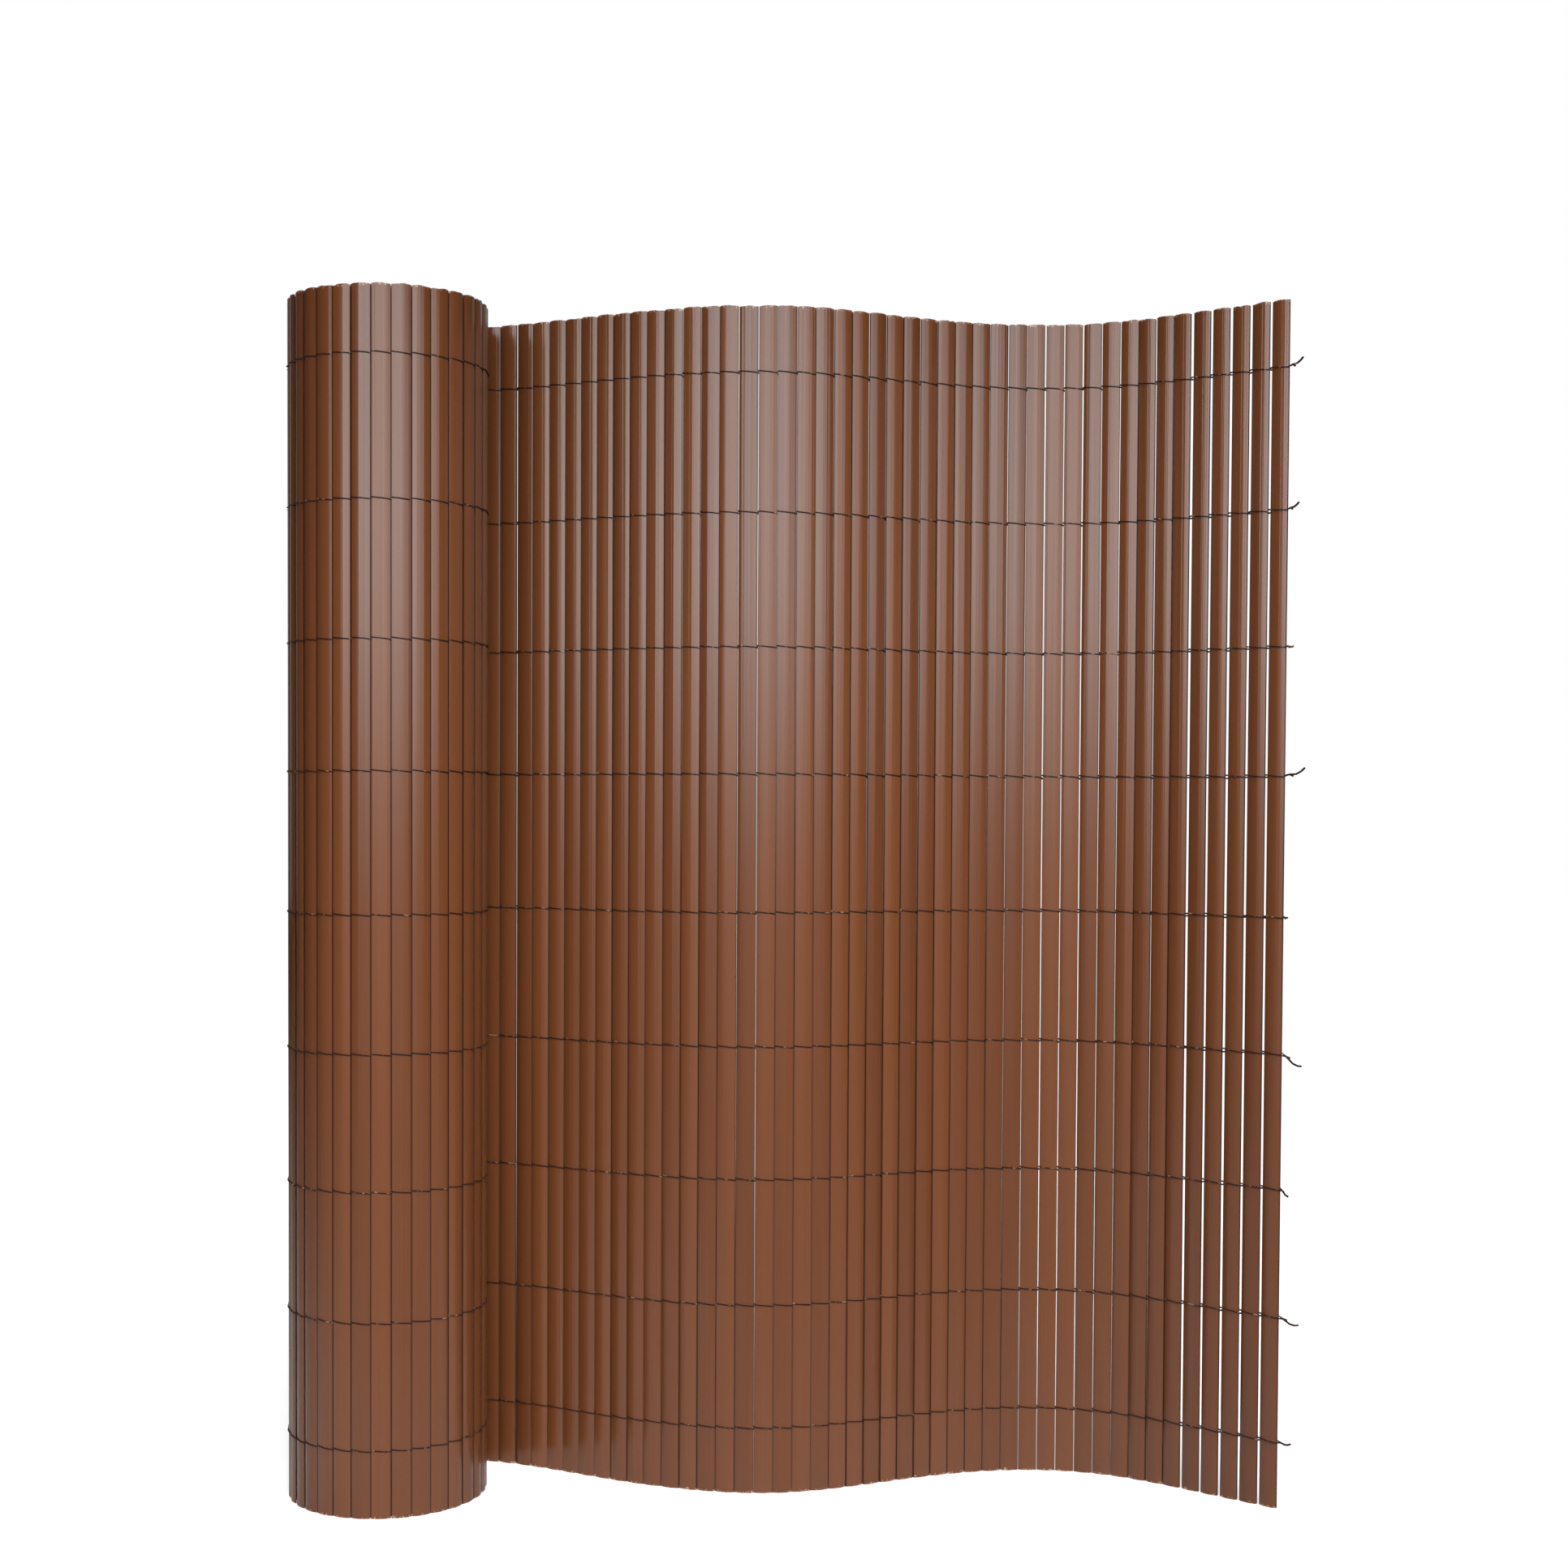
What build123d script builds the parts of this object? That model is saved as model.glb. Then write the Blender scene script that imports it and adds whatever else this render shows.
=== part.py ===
# PVC slat privacy screen, standing on end: a roll with its last stretch drawn out as a wavy panel.
# +Z is up and the slats stand on z = 0. The panel's face looks towards -Y, with its free end at +X.
# The origin is on the floor, in the middle of the screen's footprint.

from build123d import *
from math import atan, cos, pi, radians, sin, sqrt
import os

# The mat, in millimetres
screen_height = 900.0
slat_count = 205
panel_slat_count = 45

# One slat, a hollow flat oval of extruded PVC
slat_width = 13.75
slat_thickness = 4.4
slat_wall = 0.6
panel_crown_width = 4.0
panel_face_width = 9.6
panel_face_fall = 0.5
panel_edge = 2.2
panel_hollow_width = 6.0
rolled_face_width = 7.8
rolled_hollow_width = 7.8
hollow_tip_wall = 0.8

# The spaces between slats
slat_gap = 0.85
end_gap = 2.25
end_gap_count = 5

# The roll, wound inwards from the place at its back where the panel leaves it
roll_radius = 77.0
turn_clearance = 0.4
turn_count = 6
leaving_angle = 100.0

# The panel's bends on the floor, measured from the roll's axis, and its free end
panel_bends = [
    (76, 68),
    (155, 31),
    (235, -1),
    (292, -7),
    (375, 20),
    (457, 50),
    (515, 53),
    (570, 35),
    (619, 1),
]
free_end = (671, -38)

# The tie strings, with the lowest and highest rows the same distance from the slats' ends
string_diameter = 0.75
string_clearance = 0.25
string_sides = 3
edge_row_height = 50.0
# Each row from the floor up: its drift from even spacing, its loose tail's reach past the free end,
# and that tail's rise
string_rows = [
    (0, 10, 0),
    (-6, 15, -4),
    (-10, 6, -5),
    (-9, 15, -8),
    (-7, 3, 0),
    (-2, 15, 6),
    (-6, 5, 0),
    (-5, 8, 5),
    (0, 10, 6),
]
# The arc of the outermost turn that the strings leave bare, where the leaving panel covers it
covered_arc = 26.0

slat_pitch = slat_width + slat_gap
end_pitch = slat_width + end_gap
turn_pitch = slat_thickness + turn_clearance
path_radius = roll_radius - slat_thickness / 2
string_offset = slat_thickness / 2 + string_clearance + string_diameter / 2
row_step = (screen_height - 2 * edge_row_height) / (len(string_rows) - 1)
longest_tail = max(reach for drift, reach, rise in string_rows)
roll_x = (roll_radius - free_end[0] - longest_tail) / 2

# The panel's middle line, tangent to the roll where it leaves
leaving = radians(leaving_angle)
last_bend = panel_bends[-1]
with BuildLine() as panel_line:
    panel_curve = Spline(
        (roll_x + path_radius * cos(leaving), path_radius * sin(leaving)),
        *[(roll_x + x, y) for x, y in panel_bends],
        (roll_x + free_end[0], free_end[1]),
        tangents=[(sin(leaving), -cos(leaving)), (free_end[0] - last_bend[0], free_end[1] - last_bend[1])],
    )
panel_length = panel_curve.length


def wound_radius(wound):
    """The middle line's radius in the roll after a wound length."""
    return sqrt(path_radius**2 - turn_pitch * wound / pi)


def wound_angle(wound):
    """The angle, in radians, that a wound length takes up in the roll."""
    return 2 * pi * (path_radius - wound_radius(wound)) / turn_pitch


def mat_plane(distance):
    """The mat's own plane at a distance from its free end: x runs to that end, y to the panel's back."""
    if distance <= panel_length:
        place = panel_curve.position_at(panel_length - distance, PositionMode.LENGTH)
        along = panel_curve.tangent_at(panel_length - distance, PositionMode.LENGTH)
        return Plane(origin=place, x_dir=along, z_dir=(0, 0, 1))
    wound = distance - panel_length
    radius = wound_radius(wound)
    angle = leaving + wound_angle(wound)
    heading = angle + atan(turn_pitch / (2 * pi * radius))
    place = (roll_x + radius * cos(angle), radius * sin(angle), 0)
    return Plane(origin=place, x_dir=(sin(heading), -cos(heading), 0), z_dir=(0, 0, 1))


# Every slat's distance from the free end, counted from that end
slat_steps = [end_pitch if number < end_gap_count else slat_pitch for number in range(slat_count)]
slat_distances = [slat_width / 2 + sum(slat_steps[:number]) for number in range(slat_count)]
slat_planes = [mat_plane(distance) for distance in slat_distances]

os.makedirs("parts", exist_ok=True)

# The section of a panel slat: faces that fall away from a flat crown, bevelled edges and the hollow
half_width = slat_width / 2
half_thickness = slat_thickness / 2
hollow_tip = half_width - hollow_tip_wall
hollow_height = half_thickness - slat_wall
panel_quarter = [
    (panel_crown_width / 2, half_thickness),
    (panel_face_width / 2, half_thickness - panel_face_fall),
    (half_width, panel_edge / 2),
]
with BuildSketch() as panel_section:
    with BuildLine():
        Polyline((0, half_thickness), *panel_quarter, (half_width, 0))
        mirror(about=Plane.YZ)
        mirror(about=Plane.XZ)
    make_face()
    with BuildLine():
        Polyline(
            (hollow_tip, 0),
            (panel_hollow_width / 2, hollow_height),
            (-panel_hollow_width / 2, hollow_height),
            (-hollow_tip, 0),
            (-panel_hollow_width / 2, -hollow_height),
            (panel_hollow_width / 2, -hollow_height),
            close=True,
        )
    make_face(mode=Mode.SUBTRACT)

# The section of a rolled slat: the same slat with plainer faces
with BuildSketch() as rolled_section:
    with BuildLine():
        Polyline(
            (half_width, 0),
            (rolled_face_width / 2, half_thickness),
            (-rolled_face_width / 2, half_thickness),
            (-half_width, 0),
            (-rolled_face_width / 2, -half_thickness),
            (rolled_face_width / 2, -half_thickness),
            close=True,
        )
    make_face()
    with BuildLine():
        Polyline(
            (hollow_tip, 0),
            (rolled_hollow_width / 2, hollow_height),
            (-rolled_hollow_width / 2, hollow_height),
            (-hollow_tip, 0),
            (-rolled_hollow_width / 2, -hollow_height),
            (rolled_hollow_width / 2, -hollow_height),
            close=True,
        )
    make_face(mode=Mode.SUBTRACT)

# Panel slats, numbered from the roll to the free end
for number in range(1, panel_slat_count + 1):
    with BuildPart() as slat:
        with BuildSketch(slat_planes[panel_slat_count - number]):
            add(panel_section.sketch)
        extrude(amount=screen_height)
    slat.part.label = f"panel_slat_{number:02d}"
    export_step(slat.part, f"parts/panel_slat_{number:02d}.step")

# Rolled slats, shared out into turns from the outermost in, with those that lead to the panel in the first
whole_wind = wound_angle(slat_distances[-1] - panel_length)
turns = {}
for number in range(panel_slat_count, slat_count):
    wound = max(slat_distances[number] - panel_length, 0)
    turns_in = int(turn_count * wound_angle(wound) / whole_wind)
    turns.setdefault(min(turns_in + 1, turn_count), []).append(slat_planes[number])
for turn_number, turn_planes in turns.items():
    with BuildPart() as turn:
        with BuildSketch(*turn_planes):
            add(rolled_section.sketch)
        extrude(amount=screen_height)
    turn.part.label = f"rolled_slats_turn_{turn_number}"
    export_step(turn.part, f"parts/rolled_slats_turn_{turn_number}.step")

# Tie strings, numbered from the floor up. Each runs over the panel's face, passes through the gap
# behind the roll and goes on round the roll's outside, with a bend at every gap.
bare_from = 2 * pi - radians(covered_arc)
for row, (drift, reach, rise) in enumerate(string_rows):
    height = edge_row_height + row * row_step + drift
    end_slat = slat_planes[0]
    beside_end = half_width + string_clearance + string_diameter / 2
    route = [
        end_slat.from_local_coords((beside_end + reach, 0, height + rise)),
        end_slat.from_local_coords((beside_end, -string_offset, height)),
    ]
    for number in range(panel_slat_count):
        gap_ahead = -slat_steps[number] / 2
        route.append(slat_planes[number].from_local_coords((gap_ahead, -string_offset, height)))
    last_of_panel = slat_planes[panel_slat_count - 1]
    route.append(last_of_panel.from_local_coords((-slat_pitch / 2, string_offset, height)))
    for number in range(panel_slat_count, slat_count):
        if wound_angle(max(slat_distances[number] - panel_length, 0)) > bare_from:
            break
        route.append(slat_planes[number].from_local_coords((-slat_pitch / 2, string_offset, height)))
    with BuildPart() as string:
        with BuildLine() as string_line:
            Polyline(*route)
        with BuildSketch(Plane(origin=string_line.line @ 0, z_dir=string_line.line % 0)):
            RegularPolygon(radius=string_diameter / 2, side_count=string_sides)
        sweep(transition=Transition.RIGHT)
    string.part.label = f"tie_string_{row + 1}"
    export_step(string.part, f"parts/tie_string_{row + 1}.step")
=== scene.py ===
# Looks of the PVC slat privacy screen, in metres with +Z up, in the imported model's own frame.
import math
import random

import bpy
from mathutils import Matrix, Vector


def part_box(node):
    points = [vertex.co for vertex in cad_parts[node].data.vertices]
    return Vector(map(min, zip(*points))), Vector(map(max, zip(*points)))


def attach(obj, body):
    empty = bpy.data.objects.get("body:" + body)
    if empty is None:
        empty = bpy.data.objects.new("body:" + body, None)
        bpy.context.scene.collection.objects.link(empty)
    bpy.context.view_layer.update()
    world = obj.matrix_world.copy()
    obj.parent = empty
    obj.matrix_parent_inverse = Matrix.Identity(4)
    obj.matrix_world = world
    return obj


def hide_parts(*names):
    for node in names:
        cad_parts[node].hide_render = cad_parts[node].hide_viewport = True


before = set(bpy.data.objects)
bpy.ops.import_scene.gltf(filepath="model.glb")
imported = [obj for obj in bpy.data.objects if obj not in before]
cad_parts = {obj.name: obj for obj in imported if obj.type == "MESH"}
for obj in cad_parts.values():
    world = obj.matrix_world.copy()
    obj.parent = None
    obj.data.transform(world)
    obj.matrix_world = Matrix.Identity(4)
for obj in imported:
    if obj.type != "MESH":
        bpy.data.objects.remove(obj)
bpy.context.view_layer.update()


# The mat: the places of all its slats, in order from the free end to the roll's core. They are read
# from the solids, so that each finished slat stands where its solid does.
def only(thing):
    """Deselects everything and makes this the one selected, active object."""
    bpy.ops.object.select_all(action="DESELECT")
    thing.select_set(True)
    bpy.context.view_layer.objects.active = thing
    return thing


def plan_of(thing):
    """A slat's plan centre and the line of its width, from its vertices at the floor."""
    feet = {(round(v.co.x, 6), round(v.co.y, 6)) for v in thing.data.vertices if v.co.z < 0.001}
    centre = sum((Vector(foot) for foot in feet), Vector((0, 0))) / len(feet)
    spread = [Vector(foot) - centre for foot in feet]
    along_x = sum(off.x * off.x for off in spread)
    along_y = sum(off.y * off.y for off in spread)
    mixed = sum(off.x * off.y for off in spread)
    turn = 0.5 * math.atan2(2 * mixed, along_x - along_y)
    return centre, Vector((math.cos(turn), math.sin(turn)))


def plans_in(node):
    """The plans of all the slats that a node holds."""
    copy = bpy.data.objects.new("loose_slats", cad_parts[node].data.copy())
    bpy.context.scene.collection.objects.link(copy)
    only(copy)
    bpy.ops.object.mode_set(mode="EDIT")
    bpy.ops.mesh.select_all(action="SELECT")
    bpy.ops.mesh.remove_doubles(threshold=0.00001)
    bpy.ops.mesh.separate(type="LOOSE")
    bpy.ops.object.mode_set(mode="OBJECT")
    slats = list(bpy.context.selected_objects)
    plans = [plan_of(slat) for slat in slats]
    for slat in slats:
        bpy.data.objects.remove(slat)
    return plans


panel_nodes = sorted((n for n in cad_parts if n.startswith("panel_slat_")), reverse=True)
turn_nodes = sorted(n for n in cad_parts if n.startswith("rolled_slats_turn_"))
string_nodes = sorted(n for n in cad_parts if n.startswith("tie_string_"))

mat = []
for node in panel_nodes:
    centre, width_line = plans_in(node)[0]
    mat.append({"node": node, "centre": centre, "width_line": width_line})
loose = []
for node in turn_nodes:
    loose += [{"node": node, "centre": centre, "width_line": line} for centre, line in plans_in(node)]
towards_end = Vector((1, 0))
for slat in mat:
    if slat["width_line"].dot(towards_end) < 0:
        slat["width_line"] = -slat["width_line"]
    towards_end = slat["width_line"]
pitch = (mat[-1]["centre"] - mat[-2]["centre"]).length
# Each rolled slat is the loose one nearest to where the mat's bend so far leads.
while loose:
    last, before = mat[-1]["width_line"], mat[-2]["width_line"]
    bend = Matrix.Rotation(math.atan2(before.cross(last), before.dot(last)), 2)
    heading = bend @ last
    expected = mat[-1]["centre"] - pitch * (last + heading) / 2
    slat = min(loose, key=lambda other: (other["centre"] - expected).length)
    loose.remove(slat)
    if slat["width_line"].dot(heading) < 0:
        slat["width_line"] = -slat["width_line"]
    mat.append(slat)


# The slat: one length of PVC, extruded as a hollow flat oval with gently domed faces and round edges,
# and sawn off square. All slats come from the same die, so one is modelled and the rest copy it.
slat_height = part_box(panel_nodes[0])[1].z
slat_width = 0.0144
slat_thickness = 0.0044
slat_wall = 0.0006
face_radius = 0.0190
edge_rounding = 0.00085
same_place = 0.00001

bpy.ops.object.select_all(action="DESELECT")
bpy.ops.mesh.primitive_circle_add(
    vertices=48, radius=face_radius, fill_type="NOTHING", location=(0, slat_thickness / 2 - face_radius, 0)
)
slat_model = bpy.context.object
slat_model.name = "slat_model"
bpy.ops.object.transform_apply(location=True, rotation=False, scale=False)
bpy.ops.object.mode_set(mode="EDIT")
face_cuts = [
    ((slat_width / 2, 0, 0), (1, 0, 0)),
    ((-slat_width / 2, 0, 0), (-1, 0, 0)),
    ((0, 0, 0), (0, -1, 0)),
]
for cut_at, outwards in face_cuts:
    bpy.ops.mesh.select_all(action="SELECT")
    bpy.ops.mesh.bisect(plane_co=cut_at, plane_no=outwards, clear_outer=True)
bpy.ops.mesh.select_all(action="SELECT")
bpy.ops.mesh.duplicate()
bpy.ops.transform.resize(value=(1, -1, 1), center_override=(0, 0, 0))
for end in (-1, 1):
    bpy.ops.mesh.select_all(action="DESELECT")
    bpy.ops.object.mode_set(mode="OBJECT")
    for vertex in slat_model.data.vertices:
        vertex.select = abs(vertex.co.x - end * slat_width / 2) < same_place
    bpy.ops.object.mode_set(mode="EDIT")
    bpy.ops.mesh.edge_face_add()
bpy.ops.mesh.select_all(action="SELECT")
bpy.ops.mesh.extrude_edges_move(TRANSFORM_OT_translate={"value": (0, 0, slat_height)})
bpy.ops.mesh.select_all(action="DESELECT")
bpy.ops.object.mode_set(mode="OBJECT")
for edge in slat_model.data.edges:
    low, high = (slat_model.data.vertices[i].co for i in edge.vertices)
    upright_edge = abs(low.z - high.z) > slat_height / 2
    edge.select = upright_edge and abs(abs(low.x) - slat_width / 2) < same_place
bpy.ops.object.mode_set(mode="EDIT")
bpy.ops.mesh.select_mode(type="EDGE")
bpy.ops.mesh.bevel(offset=edge_rounding, segments=3, profile=0.5)
bpy.ops.mesh.select_all(action="SELECT")
bpy.ops.mesh.normals_make_consistent(inside=False)
bpy.ops.object.mode_set(mode="OBJECT")
wall = slat_model.modifiers.new("wall", "SOLIDIFY")
wall.thickness = slat_wall
wall.offset = -1
bpy.ops.object.modifier_apply(modifier=wall.name)
bpy.ops.object.shade_smooth_by_angle(angle=math.radians(50))
section_map = slat_model.data.uv_layers.new(name="section")
for corner in slat_model.data.loops:
    place = slat_model.data.vertices[corner.vertex_index].co
    section_map.data[corner.index].uv = (place.x / slat_width + 0.5, place.z / slat_height)

rng = random.Random(205)
twist_spread = 0.026
twist_limit = 0.055
rolled_trim = 0.985
loose_trim = 0.032
loose_from = 0.14
loose_over = 0.06
# The angles that the panel's slats have settled at: places along X, and degrees
settled = [
    (-0.32, -5), (-0.212, -5), (-0.20, 4.5), (-0.18, 3.5), (-0.14, -2), (-0.08, -3), (-0.05, 0),
    (0.03, 1), (0.06, 4), (0.12, 3), (0.17, 0.5), (0.22, 0), (0.27, -2), (0.36, -2),
]


def settled_twist(x):
    """The angle, in degrees, that the slats at this place along the panel have settled at."""
    for (x_low, low), (x_high, high) in zip(settled, settled[1:]):
        if x < x_high:
            return low + (high - low) * max(0, x - x_low) / (x_high - x_low)
    return settled[-1][1]


for slat in mat:
    twist = max(-twist_limit, min(twist_limit, rng.gauss(0, twist_spread)))
    slat["trim"] = rolled_trim
    if slat["node"] in panel_nodes:
        twist += math.radians(settled_twist(slat["centre"].x))
        loosened = max(0, min(1, (slat["centre"].x - loose_from) / loose_over))
        slat["trim"] = 1 - loose_trim * loosened
    slat["width_line"] = Matrix.Rotation(twist, 2) @ slat["width_line"]


# What sets one slat apart from the next: its shift and lean, how short and how aslant it was sawn, and
# the nicks in its sawn top, with their places and reach as shares of its width
most_shift = 0.00008
most_lean = 0.00025
most_short = 0.0007
most_slant = 0.04
corner_drop = 0.0005
top_trim = 0.978
nick_counts = (0, 1, 1, 2)
nick_places = (-0.4, 0.4)
nick_reaches = (0.12, 0.3)
nick_depths = (0.0002, 0.0009)


def stand_slat(slat, name):
    """A copy of the slat, stood in its place with its own lean, tone and nicks in the sawn top."""
    mesh = slat_model.data.copy()
    shift = rng.uniform(-most_shift, most_shift)
    lean = rng.uniform(-most_lean, most_lean)
    short = rng.uniform(0, most_short)
    slant = rng.uniform(-most_slant, most_slant)
    nicks = []
    for _ in range(rng.choice(nick_counts)):
        nick_at = rng.uniform(*nick_places) * slat_width
        nick_reach = rng.uniform(*nick_reaches) * slat_width
        nicks.append((nick_at, nick_reach, rng.uniform(*nick_depths)))
    for vertex in mesh.vertices:
        across = vertex.co.x
        vertex.co.x = across * slat["trim"] + shift
        if vertex.co.z > slat_height / 2:
            rounded_off = corner_drop * abs(2 * across / slat_width) ** 6
            nicked = sum(deep * max(0, 1 - abs(across - at) / reach) for at, reach, deep in nicks)
            vertex.co.z -= max(0, short + slant * across) + rounded_off + nicked
            vertex.co.x = top_trim * vertex.co.x + lean
    sideways = slat["width_line"]
    turn = Matrix.Rotation(math.atan2(sideways.y, sideways.x), 4, "Z")
    mesh.transform(Matrix.Translation((slat["centre"].x, slat["centre"].y, 0)) @ turn)
    tone = mesh.attributes.new("slat_tone", "FLOAT", "POINT")
    tone.data.foreach_set("value", [rng.random()] * len(mesh.vertices))
    copy = bpy.data.objects.new(name, mesh)
    bpy.context.scene.collection.objects.link(copy)
    return copy


# The slats' material: brown PVC with a glossy skin, die lines along the extrusion, a slight change of
# tone from slat to slat, and pale crumbs where the saw has chipped the ends.
slat_brown = (0.175, 0.057, 0.019, 1)
slat_brown_dark = (0.120, 0.037, 0.013, 1)
# A deeper brown, painted along the section's edges as shade in the gaps between slats
slat_gap_painted_shade = (0.075, 0.026, 0.013, 1)
slat_chipped = (0.42, 0.26, 0.18, 1)

slat_pvc = bpy.data.materials.new("slat_pvc")
slat_pvc.use_nodes = True
nodes = slat_pvc.node_tree.nodes
links = slat_pvc.node_tree.links
skin = nodes["Principled BSDF"]


def math_node(operation, *values):
    """A math node of the slats' material, fed by sockets or numbers."""
    node = nodes.new("ShaderNodeMath")
    node.operation = operation
    for index, value in enumerate(values):
        if isinstance(value, (int, float)):
            node.inputs[index].default_value = value
        else:
            links.new(value, node.inputs[index])
    return node.outputs["Value"]


def noise_on(vector, scale, detail=2):
    """Noise over a scaled copy of a place."""
    stretched = nodes.new("ShaderNodeMapping")
    stretched.inputs["Scale"].default_value = scale
    links.new(vector, stretched.inputs["Vector"])
    noise = nodes.new("ShaderNodeTexNoise")
    noise.inputs["Scale"].default_value = 1
    noise.inputs["Detail"].default_value = detail
    links.new(stretched.outputs["Vector"], noise.inputs["Vector"])
    return noise.outputs["Fac"]


def remapped(tree, value, from_range, to_range=(0, 1)):
    """A value moved from one range to another and held inside it."""
    node = tree.nodes.new("ShaderNodeMapRange")
    node.inputs["From Min"].default_value, node.inputs["From Max"].default_value = from_range
    node.inputs["To Min"].default_value, node.inputs["To Max"].default_value = to_range
    tree.links.new(value, node.inputs["Value"])
    return node.outputs["Result"]


def mixed_colours(tree, share, first, second):
    """A mix of two colours, each of them a socket or a plain colour."""
    node = tree.nodes.new("ShaderNodeMix")
    node.data_type = "RGBA"
    tree.links.new(share, node.inputs["Factor"])
    for socket, colour in ((node.inputs["A"], first), (node.inputs["B"], second)):
        if isinstance(colour, tuple):
            socket.default_value = colour
        else:
            tree.links.new(colour, socket)
    return node.outputs["Result"]


section_place = nodes.new("ShaderNodeUVMap")
section_place.uv_map = "section"
tone_of_slat = nodes.new("ShaderNodeAttribute")
tone_of_slat.attribute_name = "slat_tone"
tone = tone_of_slat.outputs["Fac"]
across_and_along = nodes.new("ShaderNodeSeparateXYZ")
links.new(section_place.outputs["UV"], across_and_along.inputs["Vector"])
own_place = nodes.new("ShaderNodeCombineXYZ")
links.new(across_and_along.outputs["X"], own_place.inputs["X"])
links.new(across_and_along.outputs["Y"], own_place.inputs["Y"])
links.new(math_node("MULTIPLY", tone, 60), own_place.inputs["Z"])

die_lines = noise_on(section_place.outputs["UV"], (9, 0.6, 1))
own_lines = noise_on(own_place.outputs["Vector"], (5, 1.1, 1))
fine_lines = noise_on(own_place.outputs["Vector"], (60, 3, 1))
streaks = noise_on(own_place.outputs["Vector"], (16, 2, 1), 3)

lightness = math_node("ADD", math_node("MULTIPLY", tone, 0.6), math_node("MULTIPLY", streaks, 0.4))
brown = mixed_colours(slat_pvc.node_tree, lightness, slat_brown_dark, slat_brown)

# Painted shade: the colour darkens to a deeper brown along both edges of each slat's section, where the
# gaps between slats fall into shadow.
off_middle = math_node("ABSOLUTE", math_node("SUBTRACT", across_and_along.outputs["X"], 0.5))
gap_painted_shade_zone = remapped(slat_pvc.node_tree, off_middle, (0.455, 0.50))
with_gap_painted_shade = mixed_colours(slat_pvc.node_tree, gap_painted_shade_zone, brown, slat_gap_painted_shade)

from_foot = across_and_along.outputs["Y"]
end_distance = math_node("MINIMUM", from_foot, math_node("SUBTRACT", 1, from_foot))
end_zone = math_node("MAXIMUM", math_node("SUBTRACT", 1, math_node("MULTIPLY", end_distance, 160)), 0)
crumbs = noise_on(own_place.outputs["Vector"], (9, 420, 1), 1)
end_crumbs = math_node("MULTIPLY", end_zone, math_node("SUBTRACT", crumbs, 0.2))
chipping = remapped(slat_pvc.node_tree, end_crumbs, (0.30, 0.36))
chipped = mixed_colours(slat_pvc.node_tree, chipping, with_gap_painted_shade, slat_chipped)
links.new(chipped, skin.inputs["Base Color"])

both_lines = math_node("MULTIPLY", math_node("ADD", die_lines, own_lines), 0.5)
sheen = remapped(slat_pvc.node_tree, both_lines, (0.3, 0.7), (0.52, 0.96))
links.new(sheen, skin.inputs["Specular IOR Level"])

dullness = math_node("ADD", math_node("MULTIPLY", streaks, 0.5), math_node("MULTIPLY", tone, 0.5))
links.new(remapped(slat_pvc.node_tree, dullness, (0, 1), (0.13, 0.24)), skin.inputs["Roughness"])

relief = math_node("ADD", die_lines, math_node("MULTIPLY", own_lines, 0.9))
relief = math_node("ADD", relief, math_node("MULTIPLY", fine_lines, 0.05))
line_bump = nodes.new("ShaderNodeBump")
line_bump.inputs["Strength"].default_value = 1
line_bump.inputs["Distance"].default_value = 0.00022
links.new(relief, line_bump.inputs["Height"])
links.new(line_bump.outputs["Normal"], skin.inputs["Normal"])


# The roll: the slats that are still wound up, a group for each turn. They are the same hollow PVC
# slats, and only the strings and the next turn out hold them in their circle.
for node in turn_nodes:
    copies = [stand_slat(slat, node + "_slat") for slat in mat if slat["node"] == node]
    bpy.ops.object.select_all(action="DESELECT")
    for copy in copies:
        copy.select_set(True)
    bpy.context.view_layer.objects.active = copies[0]
    bpy.ops.object.join()
    turn_piece = copies[0]
    turn_piece.name = node + "_finished"
    turn_piece.data.materials.append(slat_pvc)
    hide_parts(node)
    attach(turn_piece, "root")


# The panel: the slats that have been drawn off the roll, each on its own. They are the same hollow PVC
# slats, hanging in the strings, and each has settled at a slightly different angle.
for slat in mat[: len(panel_nodes)]:
    panel_piece = stand_slat(slat, slat["node"] + "_finished")
    panel_piece.data.materials.append(slat_pvc)
    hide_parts(slat["node"])
    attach(panel_piece, "root")
bpy.data.objects.remove(slat_model)


# The tie strings: two strands in each row, twisted once in every gap, so that one strand crosses the
# front of a slat and the other its back, and they change over at the next. Their ends hang loose.
strand_radius = 0.00044
twist_rise = 0.0009
tail_swelling = 1.8
knot_swelling = 1.6
knot_droops = (0, 0, 0, 0.0004, 0.0009)
# A strand's bends on its way over a slat's face, from one gap to the next: each one's place as a share
# of the slat's width, and its rise as a share of the twist's
face_bends = [(0.44, 0.75), (0.25, 0.4), (0, 0), (-0.25, -0.4), (-0.44, -0.75)]
# A whole tail's bends from its tip inwards: each one's place as a share of the way out to the tip, and
# its sag as a share of the tail's length. A row's other strand is cut short and hangs down a little.
tail_root = 0.2
tail_bends = [(1, 0), (0.8, 0.09), (0.55, 0.12), (tail_root, 0)]
cut_reach = 0.45
cut_forward = 0.0008
cut_rise = 0.2
cut_sag = 0.0012

tied = [slat for slat in mat if slat["node"] in panel_nodes + [turn_nodes[0]]]


def over_face(along):
    """How far out from a slat's middle a strand lies at this place across its face."""
    return slat_thickness / 2 - along**2 / (2 * face_radius) + strand_radius


def tail_points(first_side, start, tip):
    """A strand's loose tail from its tip to the last slat: one strand is whole, the other cut short."""
    away = tip - start
    if first_side < 0:
        return [start + share * away - Vector((0, 0, sag * away.length)) for share, sag in tail_bends]
    cut_end = start + Vector((cut_reach * away.x, -cut_forward, cut_rise * away.z - cut_sag))
    return [cut_end, start + tail_root * away]


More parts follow.
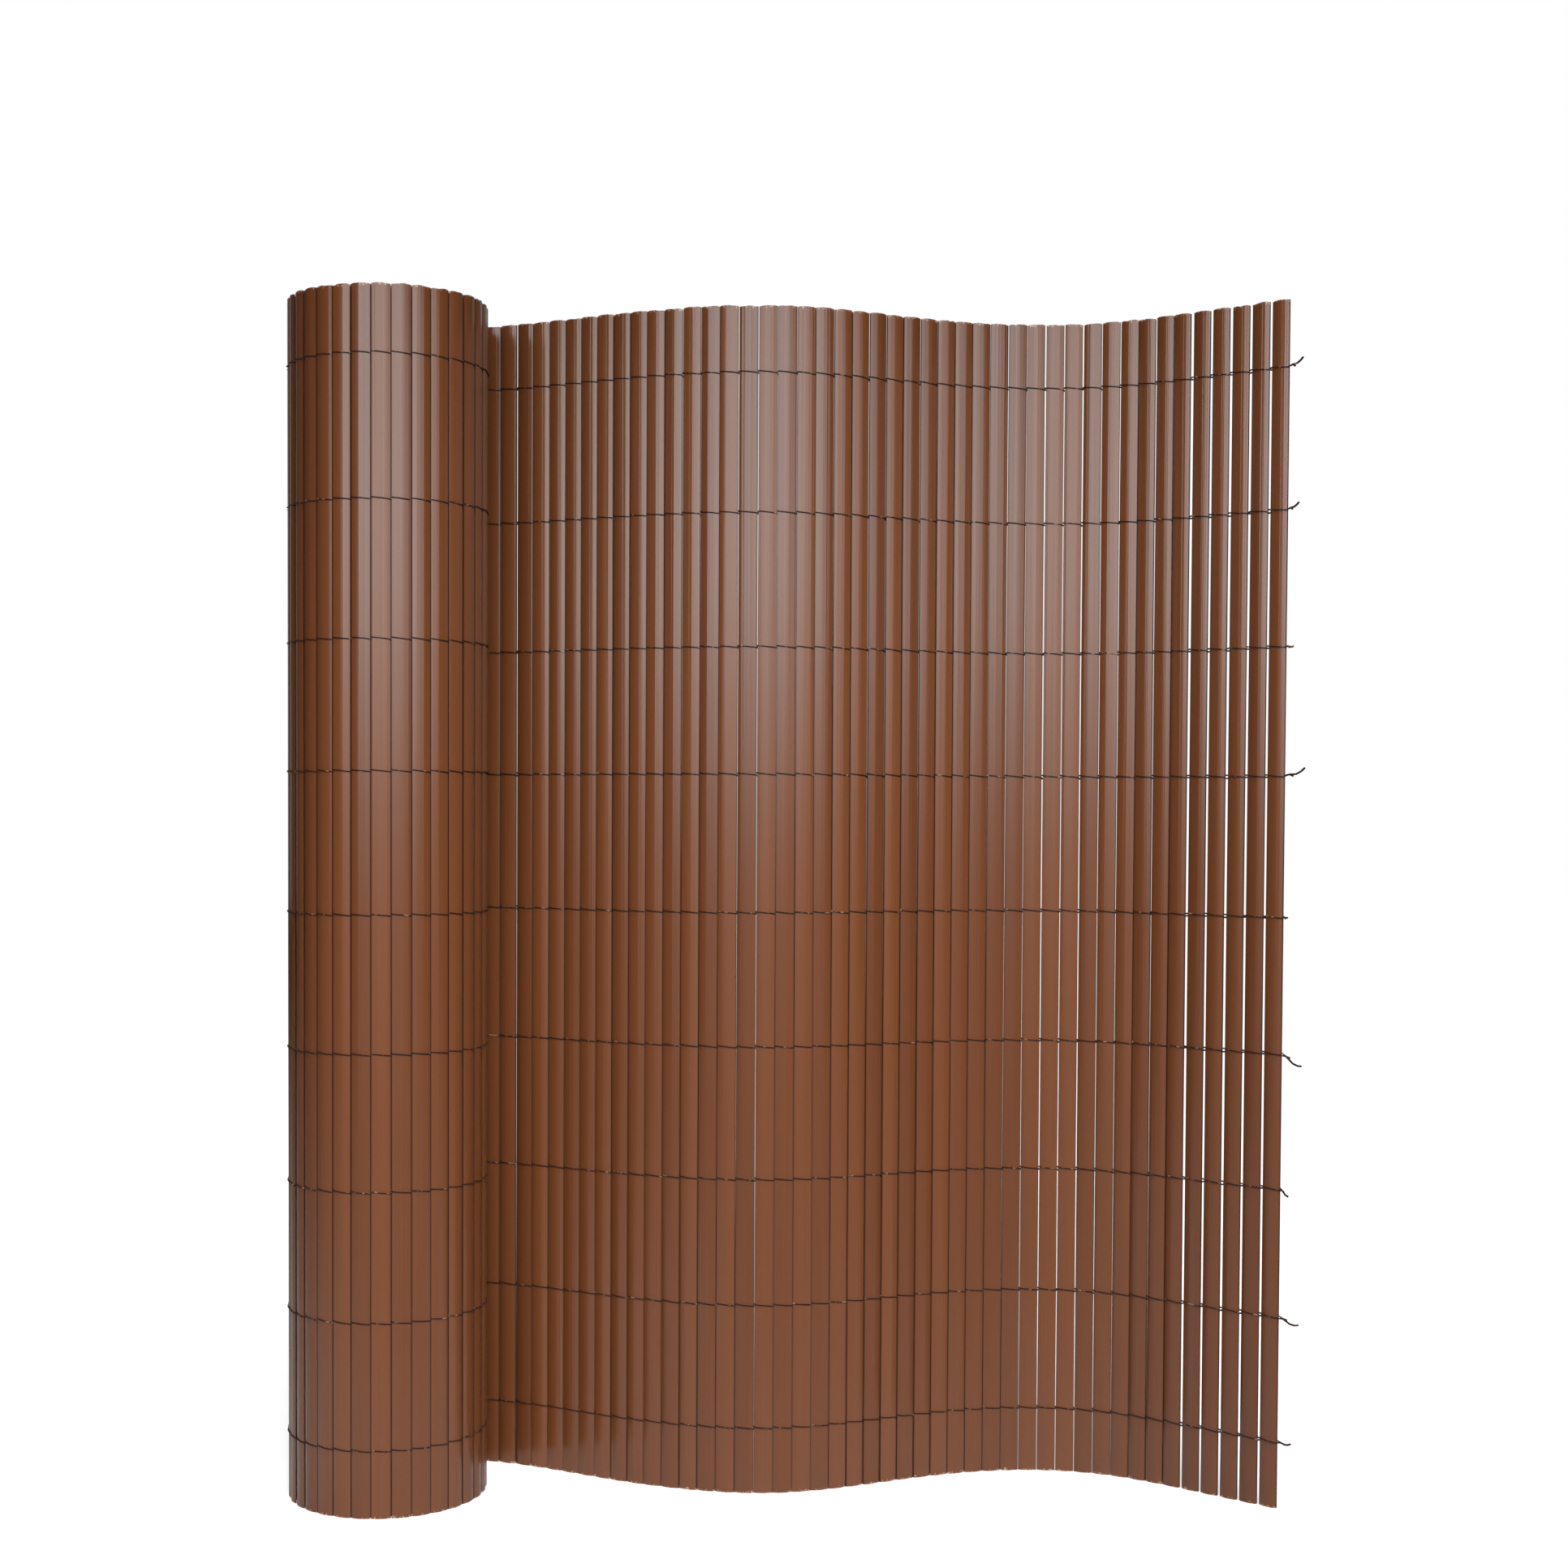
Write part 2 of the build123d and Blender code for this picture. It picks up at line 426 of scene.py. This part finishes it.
def strand_points(height, first_side, tip):
    """The points of one strand of a row and their radii, from its loose end inwards."""
    first = mat[0]
    edge = first["centre"] + first["width_line"] * (slat_width / 2 + strand_radius)
    start = Vector((edge.x, edge.y, height))
    points = [(place, tail_swelling) for place in tail_points(first_side, start, tip)]
    side = first_side
    for number, slat in enumerate(tied):
        sideways = slat["width_line"]
        outwards = Vector((-sideways.y, sideways.x))
        droop = rng.choice(knot_droops)
        if number:
            gap_middle = (slat["centre"] + tied[number - 1]["centre"]) / 2
            knot_height = height + side * twist_rise - droop
            points.append((Vector((gap_middle.x, gap_middle.y, knot_height)), knot_swelling))
        for share, rise in face_bends:
            along = share * slat_width
            plan = slat["centre"] + sideways * along + outwards * (side * over_face(along))
            points.append((Vector((plan.x, plan.y, height + side * rise * twist_rise)), 1))
        side = -side
    return points


# The strings' material: dull dark brown fibre with paler fluff in places.
string_brown = bpy.data.materials.new("tie_string")
string_brown.use_nodes = True
fibre_tree = string_brown.node_tree
fibre = fibre_tree.nodes["Principled BSDF"]
fibre.inputs["Roughness"].default_value = 0.8
fibre.inputs["Specular IOR Level"].default_value = 0.2
fibre_place = fibre_tree.nodes.new("ShaderNodeTexCoord")
fluff = fibre_tree.nodes.new("ShaderNodeTexNoise")
fluff.inputs["Scale"].default_value = 260
fluff.inputs["Detail"].default_value = 2
fibre_tree.links.new(fibre_place.outputs["Object"], fluff.inputs["Vector"])
fibre_brown = (0.027, 0.010, 0.008, 1)
fluff_brown = (0.36, 0.20, 0.13, 1)
fluff_share = remapped(fibre_tree, fluff.outputs["Fac"], (0.60, 0.70))
fibre_colour = mixed_colours(fibre_tree, fluff_share, fibre_brown, fluff_brown)
fibre_tree.links.new(fibre_colour, fibre.inputs["Base Color"])

for node in string_nodes:
    places = [vertex.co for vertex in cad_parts[node].data.vertices]
    heights = sorted(place.z for place in places)
    height = heights[len(heights) // 2]
    rightmost = max(place.x for place in places)
    tip_places = [place for place in places if place.x > rightmost - 0.0006]
    tip = sum(tip_places, Vector()) / len(tip_places)
    strands = bpy.data.curves.new(node + "_strands", "CURVE")
    strands.dimensions = "3D"
    strands.bevel_depth = strand_radius
    strands.bevel_resolution = 1
    strands.use_fill_caps = True
    for first_side in (-1, 1):
        points = strand_points(height, first_side, tip)
        spline = strands.splines.new("POLY")
        spline.points.add(len(points) - 1)
        for point, (place, swelling) in zip(spline.points, points):
            point.co = (*place, 1)
            point.radius = swelling
    string_piece = bpy.data.objects.new(node + "_finished", strands)
    bpy.context.scene.collection.objects.link(string_piece)
    only(string_piece)
    bpy.ops.object.convert(target="MESH")
    bpy.ops.object.shade_smooth()
    string_piece.data.materials.clear()
    string_piece.data.materials.append(string_brown)
    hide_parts(node)
    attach(string_piece, "root")


# The studio: a wide pale floor and a white background, with a broad bank of soft boxes behind the
# camera, brightest at the top, and lamps above the screen's front, top and back.
bpy.ops.object.select_all(action="DESELECT")
bpy.ops.mesh.primitive_plane_add(size=16)
floor = bpy.context.object
floor.name = "floor"
floor_white = bpy.data.materials.new("floor_white")
floor_white.use_nodes = True
floor_nodes = floor_white.node_tree.nodes
floor_links = floor_white.node_tree.links
floor_paint = floor_nodes["Principled BSDF"]
floor_paint.inputs["Base Color"].default_value = (0.52, 0.52, 0.52, 1)
floor_paint.inputs["Roughness"].default_value = 1
floor_paint.inputs["Specular IOR Level"].default_value = 0
floor_paint.inputs["Emission Color"].default_value = (1, 1, 1, 1)
floor_place = floor_nodes.new("ShaderNodeTexCoord")
from_middle = floor_nodes.new("ShaderNodeVectorMath")
from_middle.operation = "LENGTH"
floor_links.new(floor_place.outputs["Object"], from_middle.inputs[0])
floor_glow = remapped(floor_white.node_tree, from_middle.outputs["Value"], (0.3, 1.6), (0.58, 1))
floor_seen = floor_nodes.new("ShaderNodeLightPath")
glow_seen = floor_nodes.new("ShaderNodeMath")
glow_seen.operation = "MULTIPLY"
floor_links.new(floor_glow, glow_seen.inputs[0])
floor_links.new(floor_seen.outputs["Is Camera Ray"], glow_seen.inputs[1])
floor_links.new(glow_seen.outputs["Value"], floor_paint.inputs["Emission Strength"])
floor.data.materials.append(floor_white)

world = bpy.data.worlds.new("studio")
bpy.context.scene.world = world
world.use_nodes = True
world_nodes = world.node_tree.nodes
world_links = world.node_tree.links
background = world_nodes["Background"]
background.inputs["Color"].default_value = (1, 1, 1, 1)
facing_where = world_nodes.new("ShaderNodeTexCoord")
facing_axes = world_nodes.new("ShaderNodeSeparateXYZ")
world_links.new(facing_where.outputs["Generated"], facing_axes.inputs["Vector"])
wall_light = remapped(world.node_tree, facing_axes.outputs["Y"], (0.6, 0.85), (0.02, 0.4))
seen = world_nodes.new("ShaderNodeLightPath")
level = world_nodes.new("ShaderNodeMix")
level.data_type = "FLOAT"
level.inputs["B"].default_value = 1
world_links.new(wall_light, level.inputs["A"])
world_links.new(seen.outputs["Is Camera Ray"], level.inputs["Factor"])
world_links.new(level.outputs["Result"], background.inputs["Strength"])

bank_back = -1.95
bank_columns = [("left", -1.64, 0.8, 1), ("right", 0.8, 2.6, 0.58)]
bank_steps = [
    ("base", 0.04, 0.42, 0.3),
    ("low", 0.42, 0.60, 0.8),
    ("middle", 0.60, 0.80, 1.9),
    ("high", 0.80, 1.60, 3.1),
]


def area_lamp(name, width, depth, energy, place, turned=(0, 0, 0)):
    """A rectangular lamp at a place, turned by degrees about X, Y and Z."""
    light = bpy.data.lights.new(name, "AREA")
    light.shape = "RECTANGLE"
    light.size = width
    light.size_y = depth
    light.energy = energy
    stand = bpy.data.objects.new(name, light)
    stand.location = place
    stand.rotation_euler = [math.radians(angle) for angle in turned]
    bpy.context.scene.collection.objects.link(stand)
    return stand


for column_name, left_end, right_end, share in bank_columns:
    for step_name, bottom, top, brightness in bank_steps:
        width, depth = right_end - left_end, top - bottom
        place = ((left_end + right_end) / 2, bank_back, (bottom + top) / 2)
        box_energy = share * brightness * math.pi * width * depth
        box_name = "soft_box_" + column_name + "_" + step_name
        soft_box = area_lamp(box_name, width, depth, box_energy, place, (90, 0, 0))
        soft_box.data.color = (0.94, 0.98, 1.0)

grid_lamp = area_lamp("grid_lamp", 2.0, 0.6, 7.2, (0.6, -1.9, 2.3), (45, 0, 18))
grid_lamp.data.spread = math.radians(34)
area_lamp("floor_lamp", 2.4, 1.0, 1.6, (0, -0.7, 2.6))
rear_lamp = area_lamp("rear_lamp", 2.4, 0.8, 34, (-0.3, 2.1, 2.2), (-50, 0, 0))
rear_lamp.visible_camera = False


# The camera: near the level of the screen's middle and square to the panel, as the photograph was
# taken, with a slight tilt down and to one side.
eye = Vector((-0.0049, -1.6555, 0.5233))
pitch_down = math.radians(1.642)
roll_over = math.radians(0.2956)
ahead = Vector((0, math.cos(pitch_down), -math.sin(pitch_down)))
upright = Vector((0, math.sin(pitch_down), math.cos(pitch_down)))
right = Vector((1, 0, 0))
tilted_right = math.cos(roll_over) * right + math.sin(roll_over) * upright
tilted_up = -math.sin(roll_over) * right + math.cos(roll_over) * upright
facing = Matrix((tilted_right, tilted_up, -ahead)).transposed()
lens = bpy.data.cameras.new("camera")
lens.lens = 50
lens.sensor_width = 36
lens.shift_y = 0.0543
camera = bpy.data.objects.new("camera", lens)
camera.matrix_world = Matrix.Translation(eye) @ facing.to_4x4()
bpy.context.scene.collection.objects.link(camera)
bpy.context.scene.camera = camera
bpy.context.scene.view_settings.view_transform = "Standard"
